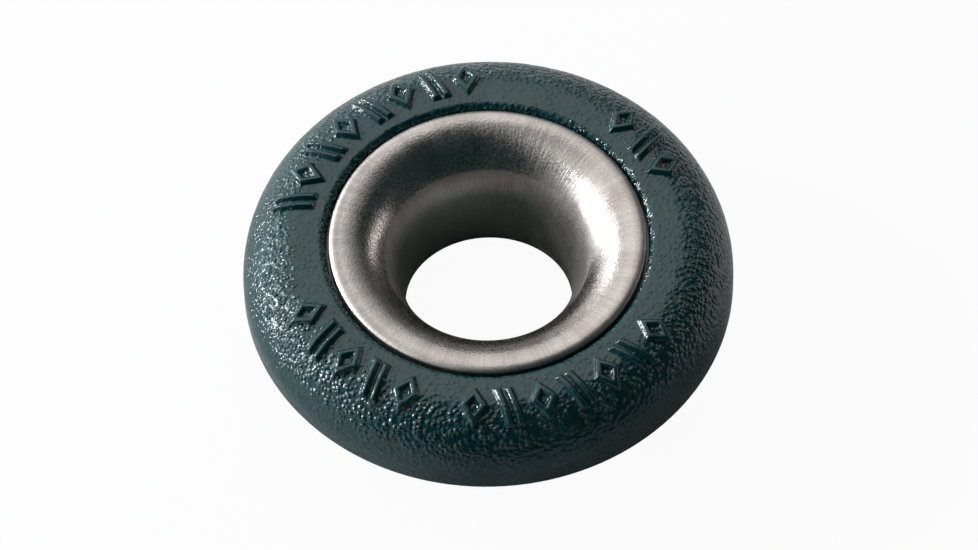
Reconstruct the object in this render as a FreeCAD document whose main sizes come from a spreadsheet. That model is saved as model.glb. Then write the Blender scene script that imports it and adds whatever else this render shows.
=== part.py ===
import FreeCAD, Part
import math
import os

import Sketcher
from FreeCAD import Placement, Rotation, Vector

# Glue-in rope bush. A domed nylon flange sits on the deck, and a spigot below it
# is glued into the deck. A spun stainless liner lies in the nylon: its lip rests
# in a recess of the flange, its mouth flares down to the throat, and its lower
# end is rolled out under a shoulder in the end of the spigot.
#
# Millimetres, +Z up along the bore. The origin is on the bore's axis, in the
# plane where the flange sits on the deck.

# Driving dimensions: alias, value and what it measures
SIZES = (
    ("flange_diameter", 38.0, "widest part of the flange, at the deck"),
    ("flange_height", 5.8, "deck to the flat top of the flange"),
    ("edge_land", 1.4, "upright part of the flange's side, above the deck"),
    ("flat_width", 1.7, "flat ring on top, from the mouth's round to the shoulder"),
    ("base_chamfer", 0.2, "flange's lower corner"),
    ("mark_rise", 0.3, "height of the raised marks on the shoulder"),
    ("mark_length", 3.0, "length of a mark, outwards"),
    ("mark_width", 2.1, "width of a mark, round the flange"),
    ("mark_stroke", 0.45, "width of a mark's strokes"),
    ("mark_lean", 0.75, "how far a mark's slanted bars lean round the flange"),
    ("mark_inset", 0.65, "flat's outer edge to the middle of the marks"),
    ("mark_pitch", 10.0, "degrees from one mark to the next"),
    ("spigot_diameter", 22.0, "part that is glued into the deck"),
    ("spigot_length", 5.2, "depth of the spigot below the deck's surface"),
    ("spigot_chamfer", 0.5, "lead-in at the spigot's end"),
    ("groove_count", 2, "glue grooves round the spigot"),
    ("groove_width", 0.9, "width of one glue groove"),
    ("groove_depth", 0.4, "depth of one glue groove"),
    ("bore_diameter", 13.0, "clear way for the rope"),
    ("throat_length", 1.3, "straight part of the bore"),
    ("liner_wall", 0.95, "sheet thickness of the liner"),
    ("rim_diameter", 24.5, "outer edge of the liner's lip"),
    ("rim_land", 0.55, "flat part of the lip, over its seat"),
    ("rim_stand", 0.05, "lip's top above the flange's top"),
    ("rim_gap", 0.2, "open ring round the lip"),
    ("rim_round", 0.35, "round of the lip's upper corner"),
    ("sheet_chamfer", 0.15, "liner's other corners, where the sheet was cut"),
    ("mouth_round", 0.55, "round of the nylon's edge at the lip"),
    ("roll_radius", 2.8, "inner radius of the rolled lower end"),
    ("roll_angle", 60.0, "degrees through which the lower end is rolled"),
    ("roll_set", 0.15, "rolled end above the spigot's end"),
    ("liner_clearance", 0.05, "nylon to liner, away from the lip's seat"),
    ("collar_chamfer", 0.25, "inner edge of the spigot's end"),
)

# Rows of raised marks round the flange: degrees from +X at the first, and how many
MARK_ROWS = ((25, 3), (95, 8), (205, 5), (265, 7))

# How far a cutting profile runs past the solid that it cuts
PAST = 1.0
# Distance within which two places count as one
NEAR = 1e-4

# Sizes that follow from the driving ones, as expressions on the sheet
FLANGE_RADIUS = "(Sizes.flange_diameter / 2)"
SPIGOT_RADIUS = "(Sizes.spigot_diameter / 2)"
THROAT_RADIUS = "(Sizes.bore_diameter / 2)"
RIM_RADIUS = "(Sizes.rim_diameter / 2)"
RECESS_RADIUS = f"({RIM_RADIUS} + Sizes.rim_gap)"
# Radius at which the flat top turns into the shoulder
FLAT_RADIUS = f"({RECESS_RADIUS} + Sizes.mouth_round + Sizes.flat_width)"
# Radius of the middle of the raised marks
MARK_RADIUS = f"({FLAT_RADIUS} + Sizes.mark_inset)"
# Radius at which the flare meets the flat of the lip
FLARE_RADIUS = f"({RIM_RADIUS} - Sizes.rim_land)"
# Height of the lip's seat above the deck
SEAT_HEIGHT = "(Sizes.flange_height + Sizes.rim_stand - Sizes.liner_wall)"
# Depths below the lip's seat: of the spigot's end, of the rolled end, of the place
# where the roll starts and of the top of the throat
SPIGOT_DEPTH = f"({SEAT_HEIGHT} + Sizes.spigot_length)"
LINER_DEPTH = f"({SPIGOT_DEPTH} - Sizes.roll_set)"
ROLL_DEPTH = f"({LINER_DEPTH} - Sizes.roll_radius * sin(Sizes.roll_angle * 1 deg))"
THROAT_DEPTH = f"({ROLL_DEPTH} - Sizes.throat_length)"
# Distances of the three skins from the inner one, which the rope runs over
INNER_SKIN = "0"
OUTER_SKIN = "Sizes.liner_wall"
NYLON_SKIN = "(Sizes.liner_wall + Sizes.liner_clearance)"
# The lands between the glue grooves are all alike
SPIGOT_WALL = "(Sizes.spigot_length - Sizes.spigot_chamfer)"
GROOVE_LAND = f"(({SPIGOT_WALL} - Sizes.groove_count * Sizes.groove_width) / (Sizes.groove_count + 1))"


def roll_end(skin):
    """Gives the radius and the depth below the seat of a skin's rolled end."""
    radius = f"(Sizes.roll_radius - {skin})"
    across = f"({THROAT_RADIUS} + Sizes.roll_radius - {radius} * cos(Sizes.roll_angle * 1 deg))"
    depth = f"({ROLL_DEPTH} + {radius} * sin(Sizes.roll_angle * 1 deg))"
    return across, depth


def make_sheet(doc):
    """Writes the driving dimensions to a spreadsheet, with an alias for each."""
    sheet = doc.addObject("Spreadsheet::Sheet", "Sizes")
    for row, (alias, value, meaning) in enumerate(SIZES, start=1):
        sheet.set(f"A{row}", alias)
        sheet.set(f"B{row}", str(value))
        sheet.set(f"C{row}", meaning)
        sheet.setAlias(f"B{row}", alias)
    doc.recompute()


def make_body(doc, label):
    """Adds an empty body that carries the name of its piece."""
    body = doc.addObject("PartDesign::Body", label)
    body.Label = label
    return body


def origin_feature(body, role):
    """Gives one of a body's own origin planes or axes."""
    return next(item for item in body.Origin.OriginFeatures if item.Role == role)


def worked_out(doc, expression):
    """Gives the value of an expression on the sheet."""
    return float(doc.Sizes.evalExpression(expression))


class Outline:
    """A sketch on one of a body's origin planes, whose sizes follow the sheet."""

    # Numbers by which a sketch knows the points of a curve, and its own axes
    START, END, CENTRE = 1, 2, 3
    LEVEL_AXIS, UPRIGHT_AXIS = -1, -2
    ORIGIN = (LEVEL_AXIS, START)

    def __init__(self, body, name, plane="XZ_Plane"):
        self.doc = body.Document
        self.sketch = body.newObject("Sketcher::SketchObject", name)
        self.sketch.AttachmentSupport = [(origin_feature(body, plane), "")]
        self.sketch.MapMode = "FlatFace"

    def lay_out(self, radius, angle, height):
        """Moves the sketch to a radius, an angle round the bore and a height, turned to face out."""
        turned = Rotation(Vector(0, 0, 1), worked_out(self.doc, angle))
        self.sketch.AttachmentOffset = Placement(Vector(0, 0, 0), turned)
        self.sketch.setExpression("AttachmentOffset.Rotation.Angle", f"{angle} * 1 deg")
        self.sketch.setExpression("AttachmentOffset.Base.x", f"{radius} * cos({angle} * 1 deg)")
        self.sketch.setExpression("AttachmentOffset.Base.y", f"{radius} * sin({angle} * 1 deg)")
        self.sketch.setExpression("AttachmentOffset.Base.z", height)

    def point(self, across, up):
        """Works out a place, to put geometry there before it is constrained."""
        return Vector(worked_out(self.doc, across), worked_out(self.doc, up))

    def tie(self, kind, *places):
        """Adds a constraint that has no size."""
        self.sketch.addConstraint(Sketcher.Constraint(kind, *places))

    def size(self, name, kind, *places, by):
        """Adds a named dimension that follows an expression on the sheet."""
        datum = worked_out(self.doc, by)
        if kind == "Angle":
            datum = math.radians(datum)
        number = self.sketch.addConstraint(Sketcher.Constraint(kind, *places, datum))
        self.sketch.renameConstraint(number, name)
        self.sketch.setExpression(f"Constraints.{name}", by)

    def out(self, name, place, by):
        """Ties a point's distance from the bore's axis to the sheet."""
        self.size(name, "DistanceX", *self.ORIGIN, *place, by=by)

    def up(self, name, place, by):
        """Ties a point's height above the sketch's origin to the sheet."""
        self.size(name, "DistanceY", *self.ORIGIN, *place, by=by)

    def down(self, name, place, by):
        """Ties a point's depth below the sketch's origin to the sheet."""
        self.size(name, "DistanceY", *place, *self.ORIGIN, by=by)

    def circle(self, name, diameter):
        """Adds a circle about the sketch's origin."""
        radius = worked_out(self.doc, diameter) / 2
        number = self.sketch.addGeometry(Part.Circle(Vector(0, 0), Vector(0, 0, 1), radius), False)
        self.tie("Coincident", number, self.CENTRE, *self.ORIGIN)
        self.size(name, "Diameter", number, by=diameter)

    def line(self, start, end):
        """Adds a line, held upright or level as its ends are."""
        number = self.sketch.addGeometry(Part.LineSegment(start, end), False)
        upright = abs(start.x - end.x) < abs(start.y - end.y)
        self.tie("Vertical" if upright else "Horizontal", number)
        return number

    def chain(self, *points):
        """Adds upright and level lines from point to point, joined end to end."""
        lines = [self.line(start, end) for start, end in zip(points, points[1:])]
        for before, after in zip(lines, lines[1:]):
            self.tie("Coincident", before, self.END, after, self.START)
        return lines

    def loop(self, name, *corners):
        """Adds a closed outline of straight lines whose corners follow the sheet."""
        points = [self.point(*corner) for corner in corners]
        ends = zip(points, points[1:] + points[:1])
        lines = [self.sketch.addGeometry(Part.LineSegment(*pair), False) for pair in ends]
        for before, after in zip(lines, lines[1:] + lines[:1]):
            self.tie("Coincident", before, self.END, after, self.START)
        for number, (line, (across, up)) in enumerate(zip(lines, corners), start=1):
            self.out(f"{name}_{number}_across", (line, self.START), across)
            self.up(f"{name}_{number}_up", (line, self.START), up)

    def arc(self, centre, radius, first, last):
        """Adds an arc of a circle between two angles in degrees."""
        circle = Part.Circle(centre, Vector(0, 0, 1), radius)
        span = (math.radians(first), math.radians(last))
        return self.sketch.addGeometry(Part.ArcOfCircle(circle, *span), False)

    def quarter(self, centre, across, up, first):
        """Adds a quarter of an upright ellipse, over 90 degrees from the first angle."""
        upright = up > across
        ellipse = Part.Ellipse(centre, max(up, across), min(up, across))
        ellipse.AngleXU = math.radians(90 if upright else 0)
        span = [math.radians(angle) - ellipse.AngleXU for angle in (first, first + 90)]
        number = self.sketch.addGeometry(Part.ArcOfEllipse(ellipse, *span), False)
        self.sketch.exposeInternalGeometry(number)
        self.tie("Vertical" if upright else "Horizontal", number + 1)
        return number


def add_skin(outline, name, skin):
    """Draws one skin of the liner from the lip's flat down to the rolled end.

    The skins lie side by side: their flares are quarters of ellipses about one
    centre, and their rolls are arcs about another. Heights count from the lip's
    seat. Gives the numbers of the flare and the roll.
    """
    flare_height = f"({THROAT_DEPTH} + Sizes.liner_wall - {skin})"
    throat_radius = f"({THROAT_RADIUS} + {skin})"
    roll_centre = f"({THROAT_RADIUS} + Sizes.roll_radius)"
    reach = worked_out(outline.doc, f"{FLARE_RADIUS} - {throat_radius}")
    rise = worked_out(outline.doc, flare_height)
    radius = worked_out(outline.doc, f"Sizes.roll_radius - {skin}")
    turned = worked_out(outline.doc, "Sizes.roll_angle")

    flare = outline.quarter(outline.point(FLARE_RADIUS, f"-{THROAT_DEPTH}"), reach, rise, 90)
    throat = outline.line(
        outline.point(throat_radius, f"-{THROAT_DEPTH}"), outline.point(throat_radius, f"-{ROLL_DEPTH}")
    )
    roll = outline.arc(outline.point(roll_centre, f"-{ROLL_DEPTH}"), radius, 180, 180 + turned)

    outline.tie("Vertical", flare, outline.CENTRE, flare, outline.START)
    outline.tie("Tangent", flare, outline.END, throat, outline.START)
    outline.tie("Tangent", throat, outline.END, roll, outline.START)
    outline.out(f"{name}_flare_radius", (flare, outline.CENTRE), FLARE_RADIUS)
    outline.down(f"{name}_flare_depth", (flare, outline.CENTRE), THROAT_DEPTH)
    ends = (flare, outline.CENTRE, flare, outline.START)
    outline.size(f"{name}_flare_height", "DistanceY", *ends, by=flare_height)
    outline.out(f"{name}_throat_radius", (throat, outline.END), throat_radius)
    outline.down(f"{name}_roll_depth", (throat, outline.END), ROLL_DEPTH)
    outline.out(f"{name}_roll_centre", (roll, outline.CENTRE), roll_centre)
    outline.size(f"{name}_roll_angle", "Angle", roll, by="Sizes.roll_angle")
    return flare, roll


def turn(body, outline, kind, name):
    """Turns an outline about the bore's axis, as material or as a cut."""
    before = 0.0 if body.Tip is None else body.Shape.Volume
    feature = body.newObject(kind, name)
    feature.Profile = outline.sketch
    feature.ReferenceAxis = (outline.sketch, ["V_Axis"])
    feature.Angle = 360.0
    body.Document.recompute()
    if kind.endswith("Groove") and body.Shape.Volume > before - NEAR:
        raise RuntimeError(f"{name} cuts nothing")
    return feature


def break_edges(body, kind, name, size, places):
    """Rounds or chamfers the circular edges at the given radii and heights."""
    base = body.Tip
    edges = []
    for radius, height in places:
        wanted = (worked_out(body.Document, radius), worked_out(body.Document, height))
        for number, edge in enumerate(base.Shape.Edges, start=1):
            if not isinstance(edge.Curve, Part.Circle):
                continue
            found = (edge.Curve.Radius, edge.Curve.Center.z)
            if math.dist(wanted, found) < NEAR:
                edges.append(f"Edge{number}")
    if len(edges) != len(places):
        raise RuntimeError(f"{name} finds {len(edges)} of {len(places)} edges")
    feature = body.newObject(kind, name)
    feature.Base = (base, edges)
    feature.setExpression("Size" if kind.endswith("Chamfer") else "Radius", size)
    body.Document.recompute()


def make_liner(doc):
    """Spins the liner: lip, bell mouth, throat and rolled end, one sheet throughout.

    The body's own origin is at the lip's seat, and its Placement puts that on the
    floor of the flange's recess.
    """
    body = make_body(doc, "steel_liner")
    outline = Outline(body, "LinerWall")
    inner_flare, inner_roll = add_skin(outline, "inner", INNER_SKIN)
    outer_flare, outer_roll = add_skin(outline, "outer", OUTER_SKIN)
    top, side, under = outline.chain(
        outline.point(FLARE_RADIUS, "Sizes.liner_wall"),
        outline.point(RIM_RADIUS, "Sizes.liner_wall"),
        outline.point(RIM_RADIUS, "0"),
        outline.point(FLARE_RADIUS, "0"),
    )
    outline.tie("Coincident", inner_flare, outline.START, top, outline.START)
    outline.tie("Coincident", under, outline.END, outer_flare, outline.START)
    outline.out("rim_radius", (side, outline.START), RIM_RADIUS)

    ends = [(across, f"-{depth}") for across, depth in map(roll_end, (OUTER_SKIN, INNER_SKIN))]
    cut_line = Part.LineSegment(*(outline.point(*end) for end in ends))
    cut_end = outline.sketch.addGeometry(cut_line, False)
    outline.tie("Coincident", cut_end, outline.START, outer_roll, outline.END)
    outline.tie("Coincident", cut_end, outline.END, inner_roll, outline.END)
    turn(body, outline, "PartDesign::Revolution", "Spinning")

    lip = [(RIM_RADIUS, "Sizes.liner_wall")]
    break_edges(body, "PartDesign::Fillet", "LipRound", "Sizes.rim_round", lip)
    corners = [(RIM_RADIUS, "0"), *ends]
    break_edges(body, "PartDesign::Chamfer", "CutEdges", "Sizes.sheet_chamfer", corners)
    body.setExpression("Placement.Base.z", SEAT_HEIGHT)
    return body


def add_flange(body):
    """Turns the domed flange: upright edge, shoulder and flat top."""
    outline = Outline(body, "FlangeDome")
    base, side = outline.chain(
        outline.point("0", "0"),
        outline.point(FLANGE_RADIUS, "0"),
        outline.point(FLANGE_RADIUS, "Sizes.edge_land"),
    )
    reach = worked_out(outline.doc, f"{FLANGE_RADIUS} - {FLAT_RADIUS}")
    rise = worked_out(outline.doc, "Sizes.flange_height - Sizes.edge_land")
    shoulder = outline.quarter(outline.point(FLAT_RADIUS, "Sizes.edge_land"), reach, rise, 0)
    flat, axis = outline.chain(
        outline.point(FLAT_RADIUS, "Sizes.flange_height"),
        outline.point("0", "Sizes.flange_height"),
        outline.point("0", "0"),
    )
    outline.tie("Coincident", base, outline.START, *outline.ORIGIN)
    outline.tie("Coincident", axis, outline.END, *outline.ORIGIN)
    outline.tie("Tangent", side, outline.END, shoulder, outline.START)
    outline.tie("Tangent", shoulder, outline.END, flat, outline.START)
    outline.out("flange_radius", (base, outline.END), FLANGE_RADIUS)
    outline.up("edge_land", (side, outline.END), "Sizes.edge_land")
    outline.out("flat_radius", (flat, outline.START), FLAT_RADIUS)
    outline.up("flange_height", (flat, outline.END), "Sizes.flange_height")
    turn(body, outline, "PartDesign::Revolution", "Flange")
    break_edges(body, "PartDesign::Chamfer", "BaseEdge", "Sizes.base_chamfer", [(FLANGE_RADIUS, "0")])


def draw_lozenge(outline):
    """Draws a mark in the shape of a lozenge with an open middle, of even stroke."""
    length, width = "(Sizes.mark_length / 2)", "(Sizes.mark_width / 2)"
    side = f"sqrt({length} * {length} + {width} * {width})"
    opening = f"(1 - Sizes.mark_stroke * {side} / ({length} * {width}))"
    for name, share in (("outer", "1"), ("inner", opening)):
        far, wide = f"{length} * {share}", f"{width} * {share}"
        outline.loop(name, (far, "0"), ("0", wide), (f"-{far}", "0"), ("0", f"-{wide}"))


def draw_slants(outline):
    """Draws a mark of two parallel bars that slant, one each side of its middle."""
    far, wide = "(Sizes.mark_length / 2)", "(Sizes.mark_width / 2)"
    edges = (wide, f"({wide} - Sizes.mark_stroke)")
    leaning = [f"({edge} - Sizes.mark_lean)" for edge in edges]
    corners = ((far, edges[0]), (f"-{far}", leaning[0]), (f"-{far}", leaning[1]), (far, edges[1]))
    for name, sign in (("one_bar", "1"), ("other_bar", "-1")):
        outline.loop(name, *((f"{sign} * {across}", f"{sign} * {up}") for across, up in corners))


def raise_marks(body, name, draw, first, count):
    """Raises every second mark of a row, as upright walls that stand out of the flange."""
    outline = Outline(body, f"{name}Outline", plane="XY_Plane")
    outline.lay_out(MARK_RADIUS, first, "Sizes.edge_land")
    draw(outline)
    walls = body.newObject("PartDesign::Pad", name)
    walls.Profile = outline.sketch
    walls.setExpression("Length", "Sizes.flange_height + Sizes.mark_rise - Sizes.edge_land")
    body.Document.recompute()
    if count > 1:
        pattern = body.newObject("PartDesign::PolarPattern", f"{name}Row")
        pattern.Originals = [walls]
        pattern.Axis = (origin_feature(body, "Z_Axis"), [""])
        pattern.setExpression("Angle", f"{count - 1} * 2 * Sizes.mark_pitch")
        pattern.Occurrences = count
        body.Tip = pattern
        body.Document.recompute()


def add_marks(body):
    """Adds rows of raised marks, lozenges and slanted bars by turns, and cuts them to the dome."""
    for row, (first, count) in enumerate(MARK_ROWS, start=1):
        raise_marks(body, f"Lozenges{row}", draw_lozenge, f"({first})", (count + 1) // 2)
        raise_marks(body, f"Slants{row}", draw_slants, f"({first} + Sizes.mark_pitch)", count // 2)

    top = "(Sizes.flange_height + Sizes.mark_rise)"
    outside = f"({FLANGE_RADIUS} + Sizes.mark_rise)"
    outline = Outline(body, "MarkTops")
    reach = worked_out(outline.doc, f"{outside} - {FLAT_RADIUS}")
    rise = worked_out(outline.doc, f"{top} - Sizes.edge_land")
    shoulder = outline.quarter(outline.point(FLAT_RADIUS, "Sizes.edge_land"), reach, rise, 0)
    inner_side, above, outer_side = outline.chain(
        outline.point(FLAT_RADIUS, top),
        outline.point(FLAT_RADIUS, f"{top} + {PAST}"),
        outline.point(outside, f"{top} + {PAST}"),
        outline.point(outside, "Sizes.edge_land"),
    )
    outline.tie("Coincident", shoulder, outline.END, inner_side, outline.START)
    outline.tie("Coincident", outer_side, outline.END, shoulder, outline.START)
    outline.out("mark_flat_radius", (inner_side, outline.START), FLAT_RADIUS)
    outline.up("mark_top", (inner_side, outline.START), top)
    outline.up("mark_past", (above, outline.START), f"{top} + {PAST}")
    outline.out("mark_outside", (outer_side, outline.END), outside)
    outline.up("mark_edge", (outer_side, outline.END), "Sizes.edge_land")
    outline.tie("Vertical", shoulder, outline.CENTRE, shoulder, outline.END)
    outline.tie("Horizontal", shoulder, outline.CENTRE, shoulder, outline.START)
    turn(body, outline, "PartDesign::Groove", "MarksToShoulder")


def add_spigot(body):
    """Adds the spigot below the flange, with its lead-in and its glue grooves."""
    disc = Outline(body, "SpigotDisc", plane="XY_Plane")
    disc.circle("spigot_diameter", "Sizes.spigot_diameter")
    spigot = body.newObject("PartDesign::Pad", "Spigot")
    spigot.Profile = disc.sketch
    spigot.Reversed = True
    spigot.setExpression("Length", "Sizes.spigot_length")
    body.Document.recompute()
    end = [(SPIGOT_RADIUS, "-Sizes.spigot_length")]
    break_edges(body, "PartDesign::Chamfer", "LeadIn", "Sizes.spigot_chamfer", end)

    floor = f"({SPIGOT_RADIUS} - Sizes.groove_depth)"
    outside = f"({SPIGOT_RADIUS} + {PAST})"
    lower = f"({GROOVE_LAND} + Sizes.groove_width)"
    outline = Outline(body, "GrooveSection")
    corners = [(floor, GROOVE_LAND), (outside, GROOVE_LAND), (outside, lower), (floor, lower)]
    points = [outline.point(across, f"-{depth}") for across, depth in corners]
    upper_side, mouth, lower_side, bottom = outline.chain(*points, points[0])
    outline.tie("Coincident", bottom, outline.END, upper_side, outline.START)
    outline.out("groove_floor", (bottom, outline.END), floor)
    outline.out("groove_mouth", (mouth, outline.END), outside)
    outline.down("first_land", (upper_side, outline.END), GROOVE_LAND)
    outline.down("groove_lower_side", (lower_side, outline.END), lower)
    groove = turn(body, outline, "PartDesign::Groove", "GlueGroove")

    pattern = body.newObject("PartDesign::LinearPattern", "GlueGrooves")
    pattern.Originals = [groove]
    pattern.Direction = (outline.sketch, ["V_Axis"])
    pattern.Reversed = True
    pattern.setExpression("Length", f"(Sizes.groove_count - 1) * ({GROOVE_LAND} + Sizes.groove_width)")
    pattern.setExpression("Occurrences", "Sizes.groove_count")
    body.Tip = pattern
    body.Document.recompute()


def cut_liner_seat(body):
    """Cuts the way for the liner: recess, lip's seat, mouth, bore and collar."""
    outline = Outline(body, "LinerSeat")
    outline.sketch.setExpression("AttachmentOffset.Base.y", SEAT_HEIGHT)
    flare, roll = add_skin(outline, "nylon", NYLON_SKIN)
    collar_radius, collar_depth = roll_end(NYLON_SKIN)
    above = f"(Sizes.liner_wall - Sizes.rim_stand + {PAST})"
    below = f"({SPIGOT_DEPTH} + {PAST})"
    step, seat, wall, top, axis, bottom, collar = outline.chain(
        outline.point(FLARE_RADIUS, "-Sizes.liner_clearance"),
        outline.point(FLARE_RADIUS, "0"),
        outline.point(RECESS_RADIUS, "0"),
        outline.point(RECESS_RADIUS, above),
        outline.point("0", above),
        outline.point("0", f"-{below}"),
        outline.point(collar_radius, f"-{below}"),
        outline.point(collar_radius, f"-{collar_depth}"),
    )
    outline.tie("Coincident", step, outline.START, flare, outline.START)
    outline.tie("Coincident", collar, outline.END, roll, outline.END)
    outline.tie("PointOnObject", seat, outline.START, outline.LEVEL_AXIS)
    outline.tie("PointOnObject", axis, outline.START, outline.UPRIGHT_AXIS)
    outline.out("recess_radius", (wall, outline.START), RECESS_RADIUS)
    outline.up("above", (top, outline.START), above)
    outline.down("below", (bottom, outline.START), below)
    turn(body, outline, "PartDesign::Groove", "LinerWay")
    mouth = [(RECESS_RADIUS, "Sizes.flange_height")]
    break_edges(body, "PartDesign::Fillet", "MouthRound", "Sizes.mouth_round", mouth)
    collar_end = [(collar_radius, "-Sizes.spigot_length")]
    break_edges(body, "PartDesign::Chamfer", "CollarLead", "Sizes.collar_chamfer", collar_end)


def make_bush(doc):
    """Moulds the nylon bush: flange, spigot and the way for the liner."""
    body = make_body(doc, "bush_body")
    add_flange(body)
    add_marks(body)
    add_spigot(body)
    cut_liner_seat(body)
    return body


def check(doc, bodies):
    """Stops if an object has failed or a piece has no sound solid."""
    failed = [item.Label for item in doc.Objects if {"Invalid", "Error"} & set(item.State)]
    if failed:
        raise RuntimeError(f"failed: {', '.join(failed)}")
    for sketch in doc.findObjects("Sketcher::SketchObject"):
        if not sketch.FullyConstrained:
            raise RuntimeError(f"{sketch.Label} is not fully constrained")
    for body in bodies:
        if body.Shape.isNull() or not body.Shape.isValid() or len(body.Shape.Solids) != 1:
            raise RuntimeError(f"{body.Label} is not one sound solid")


def main():
    """Builds the document and writes each piece to its own file."""
    doc = FreeCAD.newDocument("RopeBush")
    make_sheet(doc)
    bodies = [make_bush(doc), make_liner(doc)]
    doc.recompute()
    check(doc, bodies)
    os.makedirs("parts", exist_ok=True)
    for body in bodies:
        box = body.Shape.BoundBox
        print(f"{body.Label}: {body.Shape.Volume:.1f} mm3, from {box.ZMin:.3f} to {box.ZMax:.3f} mm up")
        body.Shape.exportStep(f"parts/{body.Label}.step")


main()
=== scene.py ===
import logging
import math
from dataclasses import dataclass, field
from enum import Enum
from typing import Any, TypeVar, Union

import bpy
import numpy as np
from mathutils import Matrix, Vector, noise


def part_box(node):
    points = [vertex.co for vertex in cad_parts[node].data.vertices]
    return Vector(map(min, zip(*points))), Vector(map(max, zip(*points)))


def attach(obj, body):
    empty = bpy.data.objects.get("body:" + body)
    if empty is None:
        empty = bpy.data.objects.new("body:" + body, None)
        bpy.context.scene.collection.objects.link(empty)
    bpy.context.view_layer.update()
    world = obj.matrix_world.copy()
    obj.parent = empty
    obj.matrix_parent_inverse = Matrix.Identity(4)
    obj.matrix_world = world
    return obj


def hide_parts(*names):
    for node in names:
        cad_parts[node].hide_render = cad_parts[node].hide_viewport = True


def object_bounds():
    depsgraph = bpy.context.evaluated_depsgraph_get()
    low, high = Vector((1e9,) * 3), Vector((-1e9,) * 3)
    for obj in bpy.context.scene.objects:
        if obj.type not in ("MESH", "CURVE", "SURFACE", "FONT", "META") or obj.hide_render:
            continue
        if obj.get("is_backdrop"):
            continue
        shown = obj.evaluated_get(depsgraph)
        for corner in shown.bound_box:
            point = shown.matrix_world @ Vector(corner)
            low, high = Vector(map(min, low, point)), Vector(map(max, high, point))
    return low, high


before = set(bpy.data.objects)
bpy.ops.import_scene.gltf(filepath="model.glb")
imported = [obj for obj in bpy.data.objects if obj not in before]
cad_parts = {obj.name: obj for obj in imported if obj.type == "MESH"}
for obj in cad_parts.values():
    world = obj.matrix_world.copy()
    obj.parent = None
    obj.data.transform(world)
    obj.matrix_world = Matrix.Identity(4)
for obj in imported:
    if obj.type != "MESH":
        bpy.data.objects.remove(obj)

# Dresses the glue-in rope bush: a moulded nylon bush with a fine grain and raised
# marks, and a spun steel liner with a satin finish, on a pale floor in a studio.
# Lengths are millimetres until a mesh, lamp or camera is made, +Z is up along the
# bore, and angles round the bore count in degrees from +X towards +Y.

MM = 0.001
SAME_PLACE = 1e-6
TRACK_POINTS = 400
WHITE = (1.0, 1.0, 1.0, 1.0)
LOG = logging.getLogger("rope_bush")

Colour = tuple[float, float, float]
Settings = dict[str, Any]
Inputs = dict[Union[str, int], Any]
Number = TypeVar("Number", float, np.ndarray)


class Outlet:
    """A socket in a tree of nodes, with arithmetic that adds Math nodes."""

    def __init__(self, graph: "Graph", socket: bpy.types.NodeSocket) -> None:
        """Wraps a socket of a graph."""
        self.graph = graph
        self.socket = socket

    def sibling(self, key: Union[str, int]) -> "Outlet":
        """Gives another output of the same node."""
        return Outlet(self.graph, self.socket.node.outputs[key])

    def _math(self, operation: str, first: Any, second: Any) -> "Outlet":
        """Adds a Math node that joins two values."""
        return self.graph.add("ShaderNodeMath", {"operation": operation}, {0: first, 1: second})

    def __add__(self, other: Any) -> "Outlet":
        """Adds another value."""
        return self._math("ADD", self, other)

    def __radd__(self, other: Any) -> "Outlet":
        """Adds this to a plain number."""
        return self._math("ADD", other, self)

    def __sub__(self, other: Any) -> "Outlet":
        """Takes another value away."""
        return self._math("SUBTRACT", self, other)

    def __rsub__(self, other: Any) -> "Outlet":
        """Takes this away from a plain number."""
        return self._math("SUBTRACT", other, self)

    def __mul__(self, other: Any) -> "Outlet":
        """Multiplies by another value."""
        return self._math("MULTIPLY", self, other)

    def __rmul__(self, other: Any) -> "Outlet":
        """Multiplies a plain number by this."""
        return self._math("MULTIPLY", other, self)

    def __truediv__(self, other: Any) -> "Outlet":
        """Divides by another value."""
        return self._math("DIVIDE", self, other)

    def __rtruediv__(self, other: Any) -> "Outlet":
        """Divides a plain number by this."""
        return self._math("DIVIDE", other, self)

    def __pow__(self, other: Any) -> "Outlet":
        """Raises this to a power."""
        return self._math("POWER", self, other)

    def __rpow__(self, other: Any) -> "Outlet":
        """Raises a plain number to this."""
        return self._math("POWER", other, self)


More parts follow.
